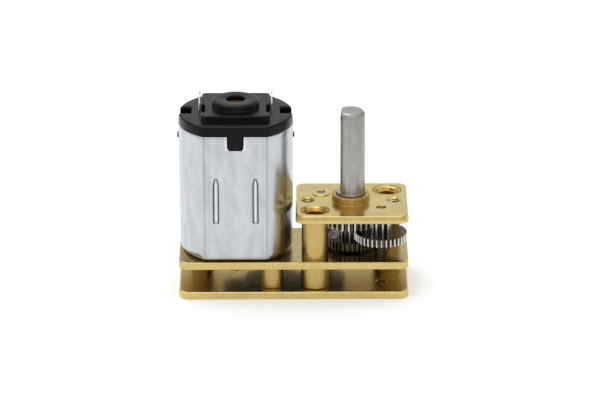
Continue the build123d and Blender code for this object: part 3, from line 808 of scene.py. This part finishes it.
def notched(points, reach, y0, y1):
    """The outline with a rectangular notch at each side, open outwards."""
    out = [p for p in points if abs(p[0] - MOTOR[0]) <= reach or not y0 <= p[1] <= y1]
    result = []
    count = len(out)
    for i in range(count):
        a, b = out[i], out[(i + 1) % count]
        result.append(a)
        ra, rb = a[0] - MOTOR[0], b[0] - MOTOR[0]
        if abs(ra) > reach and abs(rb) > reach and ra * rb > 0 and abs(a[1] - b[1]) > (y1 - y0) * 0.98:
            side = 1 if ra > 0 else -1
            first, last = (y0, y1) if side > 0 else (y1, y0)
            corners = ((round_x(first), first), (reach, first), (reach, last), (round_x(last), last))
            for x, y in corners:
                result.append((MOTOR[0] + side * x, y))
    return result


def round_top(r, z_top, steps=5):
    angles = [math.radians(90 * k / steps) for k in range(steps + 1)]
    return [(r - r * math.cos(a), z_top - r + r * math.sin(a)) for a in angles]


def end_cap(bm):
    outline = can_outline(0.05)
    prism(bm, outline, [(0.04, CAN_TOP), (0, CAN_TOP + 0.04), (0, 18.35)])
    cut = notched(outline, 4.65, -0.6, 1.25)
    prism(bm, cut, [(0, 18.35)] + round_top(0.22, 19.15))
    seat = softened(seat_outline(), 0.12, 2)
    prism(bm, seat, [(-0.05, 19.1), (-0.03, 19.16), (0, 19.22)] + round_top(0.12, 19.75, 4))
    boss = [(0, 19.0), (2.5, 19.0), (2.5, 19.75), (BOSS_R, 19.8), (BOSS_R, 20.2)]
    boss += [(BOSS_R - d, z) for d, z in round_top(0.32, 20.5)]
    boss += [(1.1, 20.5), (1.03, 20.47), (1.0, 20.4), (1.0, 19.95)]
    boss += [(1.3, 19.95), (1.3, 19.9), (0, 19.9)]
    lathe(bm, MOTOR, boss, 112)


def seat_outline():
    """The raised seat: a rounded rectangle with a slot beside each contact blade."""
    points = []
    base = rounded_box(-3.57, 3.57, -3.3, 3.95, 0.45, 5)
    slot = [(3.57, -2.0), (3.2, -2.0), (3.2, 0.3), (3.57, 0.3)]
    slots = {1: slot, -1: [(-x, y) for x, y in reversed(slot)]}
    for i, p in enumerate(base):
        points.append(p)
        q = base[(i + 1) % len(base)]
        if abs(p[0] - q[0]) < 1e-6 and abs(p[1] - q[1]) > 3:
            points += slots[1 if p[0] > 0 else -1]
    return [(x + MOTOR[0], y) for x, y in points]


def cap_keys(bm):
    """Keys that fill the can's rim notches, and the snaps in its side windows."""
    for side in (-1, 1):
        half = [(0.85, 18.2), (0.78, 16.8), (0.74, 16.65), (0.66, 16.58), (0.54, 16.56)]
        shape = [(-x, z) for x, z in half] + list(reversed(half))
        rows = []
        for depth, y in ((0.0, 4.2), (0.0, 4.86), (0.04, 4.92)):
            row = []
            for x, z in shape:
                rel = Vector((x, z - 17.4))
                rel *= 1 - depth / 0.8
                row.append(bm.verts.new(((MOTOR[0] + rel.x) * MM, side * y * MM, (rel.y + 17.4) * MM)))
            rows.append(row)
        for low, high in zip(rows, rows[1:]):
            wall(bm, low, high)
        bm.faces.new(rows[0])
        bm.faces.new(rows[-1])
        outline = rounded_box(5.1, 6.12, -0.42, 0.42, 0.12, 3)
        placed = [(MOTOR[0] + side * x, y) for x, y in outline]
        if side < 0:
            placed.reverse()
        prism(bm, placed, [(0.05, 16.36), (0, 16.41), (0, 16.75), (0.05, 16.8)])


# ---------------------------------------------------------------- contact blades
def contact_blades(bm):
    for side in (-1, 1):
        x0 = MOTOR[0] + side * BLADE_X
        shape = rounded_box(-0.45, 1.05, 16.95, 21.0, 0.3, 5)
        eye = circle((0.3, 20.25), 0.35, 32)
        rows = []
        for x, depth in ((-0.1, 0.03), (-0.07, 0.0), (0.07, 0.0), (0.1, 0.03)):
            outer = [bm.verts.new(((x0 + x) * MM, y * MM, z * MM)) for y, z in inset(shape, depth)]
            inner = [bm.verts.new(((x0 + x) * MM, y * MM, z * MM)) for y, z in inset(eye, -depth)]
            rows.append((outer, inner))
        for a, b in zip(rows, rows[1:]):
            wall(bm, a[0], b[0])
            wall(bm, a[1], b[1])
        for outer, inner in (rows[0], rows[-1]):
            edges = loop_edges(bm, outer) + loop_edges(bm, inner)
            bmesh.ops.triangle_fill(bm, use_beauty=True, edges=edges)


# ---------------------------------------------------------------- pieces
make(
    "plate_bottom", bottom_plate, "frame", BRASS_LIT_LOWER, ["bottom_plate"],
    flats=BRASS_SHADED_LOWER,
)
make(
    "plate_middle", middle_plate, "frame", BRASS, ["middle_plate"], flats=BRASS_SHADED
)
make("plate_top", top_plate, "frame", BRASS, ["top_plate"])
for name, at in (("front", FRONT_POST), ("rear", REAR_POST)):
    make("post_" + name, long_post(at), "frame", BRASS_TURNED, [name + "_post"])
    make("lip_" + name, post_lip(at), "frame", BRASS)
    make("bore_" + name, post_bore(at), "frame", BORE_BRASS_LIT)
make("posts_short", short_posts, "frame", BRASS_TURNED, ["short_posts"])
make("pin_idler", idler_pin, "frame", BRIGHT_STEEL, ["idler_pin"])
make("bush_output", bush, "frame", BRONZE, ["output_bush"])
make("can", can_shell, "frame", CAN_STEEL, ["motor_can"], sharp=50)
make("cap", end_cap, "frame", PLASTIC, ["motor_end_cap"])
make("cap_keys", cap_keys, "frame", PLASTIC)
make("blades", contact_blades, "frame", TINNED, ["terminals"])
make("shaft_output", output_shaft, "output", SHAFT_STEEL, ["output_shaft"], sharp=25)


# Colour of the painted highlight on the tooth tips, and of the gear faces, dark from oil and painted
# shade.
TIP_HIGHLIGHT_STEEL = (0.78, 0.77, 0.74)
OILY_SHADED_STEEL = (0.075, 0.068, 0.055)


def gear_look(node, at, teeth, module, light=TIP_HIGHLIGHT_STEEL, dark=OILY_SHADED_STEEL, journal_r=0.0):
    tip = teeth * module / 2 + 0.8 * module
    finish(node, gear_metal(node + "_steel", at, tip, light, dark, 1.4 * module, journal_r))


def finish(node, material):
    obj = nodes[node]
    obj.data.materials.clear()
    obj.data.materials.append(material)


gear_look("output_gear", OUTPUT, 29, 0.2)
gear_look("final_wheel", FINAL, 35, 0.152)
gear_look("final_pinion_shaft", FINAL, 9, 0.2, TIP_HIGHLIGHT_STEEL, (0.05, 0.046, 0.036), FINAL_JOURNAL_R)
# A darker copy of the gear look for the centre wheel: painted shade under the top plate.
gear_look("centre_wheel", OUTPUT, 35, 0.15, (0.24, 0.215, 0.155), (0.055, 0.05, 0.038))
gear_look("centre_pinion", OUTPUT, 15, 0.152)
gear_look("transfer_pinion", TRANSFER, 14, 0.15)
LOWER_STAGE = (
    ("transfer_wheel", TRANSFER, 24),
    ("idler_gear", IDLER, 28),
    ("motor_pinion", MOTOR, 12),
)
# The darkest copy of the gear look for the lower stage: painted shade between the bottom and middle
# plates.
for node, at, teeth in LOWER_STAGE:
    gear_look(node, at, teeth, 0.2, (0.12, 0.105, 0.075), (0.022, 0.019, 0.014))
for node, material in {
    "front_bearing": BRONZE,
    "rear_bearing": BRONZE,
    "transfer_shaft": PIN_STEEL,
    "motor_shaft": BRIGHT_STEEL,
    "magnets": FERRITE,
    "rotor_core": IRON,
    "rotor_windings": COPPER,
    "commutator_hub": HUB_PLASTIC,
    "commutator_segments": COPPER,
    "brushes": COPPER,
}.items():
    finish(node, material)


# ---------------------------------------------------------------- grease on the centre wheel
def grease(bm):
    base = bmesh.ops.create_icosphere(bm, subdivisions=4, radius=1.0)["verts"]
    for v in base:
        n = v.co.copy()
        broad = 0.16 * math.sin(5.1 * n.x + 2.0) * math.sin(4.3 * n.y + 0.4)
        lump = 1 + broad + 0.1 * math.sin(9.0 * n.y - 3 * n.x)
        x = 4.25 + 0.42 * n.x * lump
        y = -0.15 + 0.95 * n.y * lump
        z = 5.2 + 0.36 * max(n.z, -0.1) * lump
        away = Vector((x - OUTPUT[0], y))
        reach = away.length
        kept = min(2.42, max(1.3, reach))
        away *= kept / reach
        v.co = Vector(((OUTPUT[0] + away.x) * MM, away.y * MM, z * MM))


def grease_material():
    t = Tree("grease")
    where = t.position()
    lumps = t.noise(where, 3.0, 4.0, 0.6)
    tone = t.remap(lumps, 0.35, 0.65, 0.0, 1.0)
    t.set(Base_Color=t.mix(tone, rgb(0.7, 0.7, 0.7), rgb(0.95, 0.95, 0.94)))
    t.set(Roughness=t.remap(lumps, 0.3, 0.7, 0.25, 0.4))
    t.set(Normal=t.bump(lumps, 0.5, 0.08))
    return t.material


make("grease_smear", grease, "centre", grease_material(), sharp=180, weighted=False)


# ---------------------------------------------------------------- stage, light and camera
def floor_material():
    """Matt white paper. The camera sees it slightly overexposed, as a studio backdrop is."""
    t = Tree("floor_paper")
    where = t.position()
    t.set(Base_Color=t.mix(t.noise(where, 0.05, 2.0), rgb(0.93, 0.93, 0.93), rgb(0.95, 0.95, 0.95)))
    t.set(Roughness=0.9, Specular_IOR_Level=0.1, Emission_Color=rgb(1, 0.995, 0.99))
    to_camera = t.node("ShaderNodeLightPath").outputs["Is Camera Ray"]
    t.set(Emission_Strength=t.math("MULTIPLY", to_camera, 0.12))
    return t.material


def stage_floor():
    size = 1.5
    mesh = bpy.data.meshes.new("floor")
    corners = [(-size, -size, 0), (size, -size, 0), (size, size, 0), (-size, size, 0)]
    mesh.from_pydata(corners, [], [(0, 1, 2, 3)])
    floor = bpy.data.objects.new("floor", mesh)
    bpy.context.scene.collection.objects.link(floor)
    floor.location.z = -0.00002
    mesh.materials.append(floor_material())


def world_light():
    world = bpy.data.worlds.new("studio")
    bpy.context.scene.world = world
    world.use_nodes = True
    tree = world.node_tree
    tree.nodes.clear()
    out = tree.nodes.new("ShaderNodeOutputWorld")
    seen = tree.nodes.new("ShaderNodeBackground")
    seen.inputs["Color"].default_value = (1, 1, 1, 1)
    seen.inputs["Strength"].default_value = 1.05
    tent = tree.nodes.new("ShaderNodeBackground")
    coords = tree.nodes.new("ShaderNodeTexCoord")
    parts = tree.nodes.new("ShaderNodeSeparateXYZ")
    ramp = tree.nodes.new("ShaderNodeValToRGB")
    tree.links.new(coords.outputs["Generated"], parts.inputs[0])
    height = tree.nodes.new("ShaderNodeMapRange")
    height.inputs[1].default_value = -1
    tree.links.new(parts.outputs["Z"], height.inputs[0])
    tree.links.new(height.outputs[0], ramp.inputs[0])
    stops = ramp.color_ramp.elements
    stops[0].position = 0.0
    stops[0].color = (0.68, 0.68, 0.68, 1)
    stops[1].position = 1.0
    stops[1].color = (1.0, 1.0, 1.0, 1)
    middle = stops.new(0.62)
    middle.color = (0.69, 0.7, 0.71, 1)
    side = tree.nodes.new("ShaderNodeMath")
    side.operation = "POWER"
    side.inputs[1].default_value = 2
    tree.links.new(parts.outputs["X"], side.inputs[0])
    shade = tree.nodes.new("ShaderNodeMapRange")
    shade.inputs[3].default_value, shade.inputs[4].default_value = 1.0, 0.62
    tree.links.new(side.outputs[0], shade.inputs[0])
    tint = tree.nodes.new("ShaderNodeVectorMath")
    tint.operation = "SCALE"
    tree.links.new(ramp.outputs[0], tint.inputs[0])
    tree.links.new(shade.outputs[0], tint.inputs["Scale"])
    tree.links.new(tint.outputs[0], tent.inputs["Color"])
    tent.inputs["Strength"].default_value = 1.18
    path = tree.nodes.new("ShaderNodeLightPath")
    choose = tree.nodes.new("ShaderNodeMixShader")
    tree.links.new(path.outputs["Is Camera Ray"], choose.inputs[0])
    tree.links.new(tent.outputs[0], choose.inputs[1])
    tree.links.new(seen.outputs[0], choose.inputs[2])
    tree.links.new(choose.outputs[0], out.inputs[0])


def soft_box(name, place, size, power):
    light = bpy.data.lights.new(name, "AREA")
    light.shape = "RECTANGLE"
    light.size, light.size_y = size
    light.energy = power
    obj = bpy.data.objects.new(name, light)
    bpy.context.scene.collection.objects.link(obj)
    obj.location = place
    obj.rotation_euler = (Vector((0, 0, 0.01)) - Vector(place)).to_track_quat("-Z", "Y").to_euler()


def camera():
    azimuth, elevation, roll = math.radians(-0.1575), math.radians(21.2204), math.radians(-0.0996)
    level = math.cos(elevation)
    back = Vector((math.sin(azimuth) * level, -math.cos(azimuth) * level, math.sin(elevation)))
    right = Vector((math.cos(azimuth), math.sin(azimuth), 0))
    up = back.cross(right)
    turned_right = right * math.cos(roll) + up * math.sin(roll)
    turned_up = up * math.cos(roll) - right * math.sin(roll)
    data = bpy.data.cameras.new("camera")
    data.sensor_width = 36.0
    data.lens = 254.085
    obj = bpy.data.objects.new("camera", data)
    bpy.context.scene.collection.objects.link(obj)
    basis = Matrix((turned_right, turned_up, back)).transposed()
    place = Vector((0.68157, 0, 9.17352)) * MM + back * 0.444441
    obj.matrix_world = Matrix.Translation(place) @ basis.to_4x4()
    data.clip_start, data.clip_end = 0.01, 10
    bpy.context.scene.camera = obj


stage_floor()
world_light()
soft_box("key", (-0.08, 0.05, 0.32), (0.3, 0.3), 0.36)
camera()
bpy.context.scene.view_settings.view_transform = "Standard"
bpy.context.scene.view_settings.look = "None"
bpy.context.scene.cycles.glossy_bounces = 10
